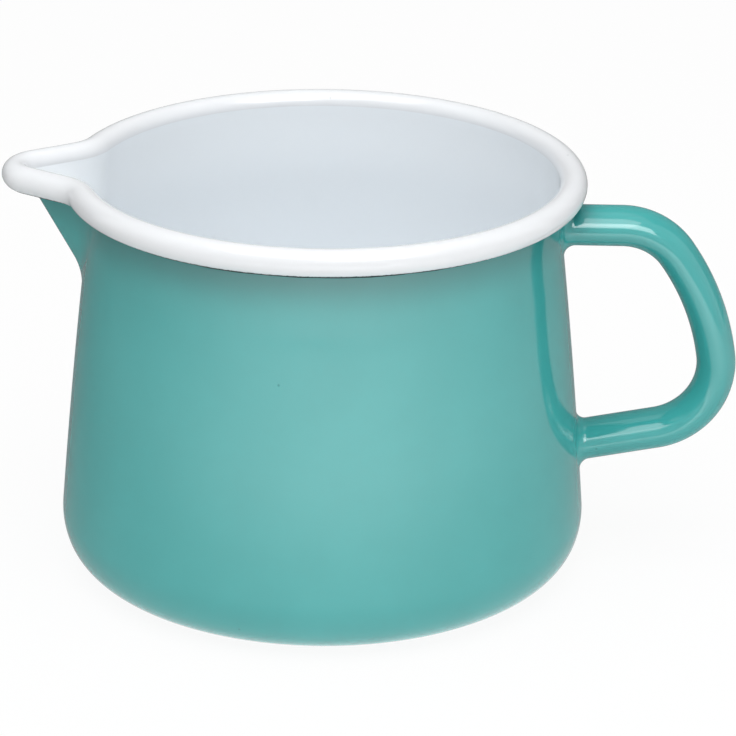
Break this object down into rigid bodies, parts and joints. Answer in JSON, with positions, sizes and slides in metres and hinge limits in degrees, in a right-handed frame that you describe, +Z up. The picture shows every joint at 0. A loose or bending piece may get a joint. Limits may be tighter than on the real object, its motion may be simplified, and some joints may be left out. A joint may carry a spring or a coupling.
{
  "type": "milk pan",
  "caption": "Enamelled steel milk pan with a rolled rim, a beaked pouring spout and a welded loop handle, white inside and turquoise outside.",
  "frame": {"origin": "on the axis of the round body, at the flat face under the base", "axes": "+Z up along the body's axis, +X toward the handle, -X toward the spout, Y across the pan"},
  "size_m": [0.1901, 0.1372, 0.1078],
  "materials": {
    "steel": "bare, covered by the coats",
    "ground_enamel": "glossy, dark",
    "white_enamel": "glossy, a cool white",
    "turquoise_enamel": "glossy, turquoise"
  },
  "bodies": {
    "root": {"pan_shell": "steel", "handle_tube": "steel", "upper_weld": "steel", "lower_weld": "steel", "body_ground_coat": "ground_enamel", "handle_ground_coat": "ground_enamel", "inside_enamel": "white_enamel", "rim_enamel": "white_enamel", "outside_enamel": "turquoise_enamel", "base_enamel": "turquoise_enamel", "handle_enamel": "turquoise_enamel"}
  },
  "joints": []
}
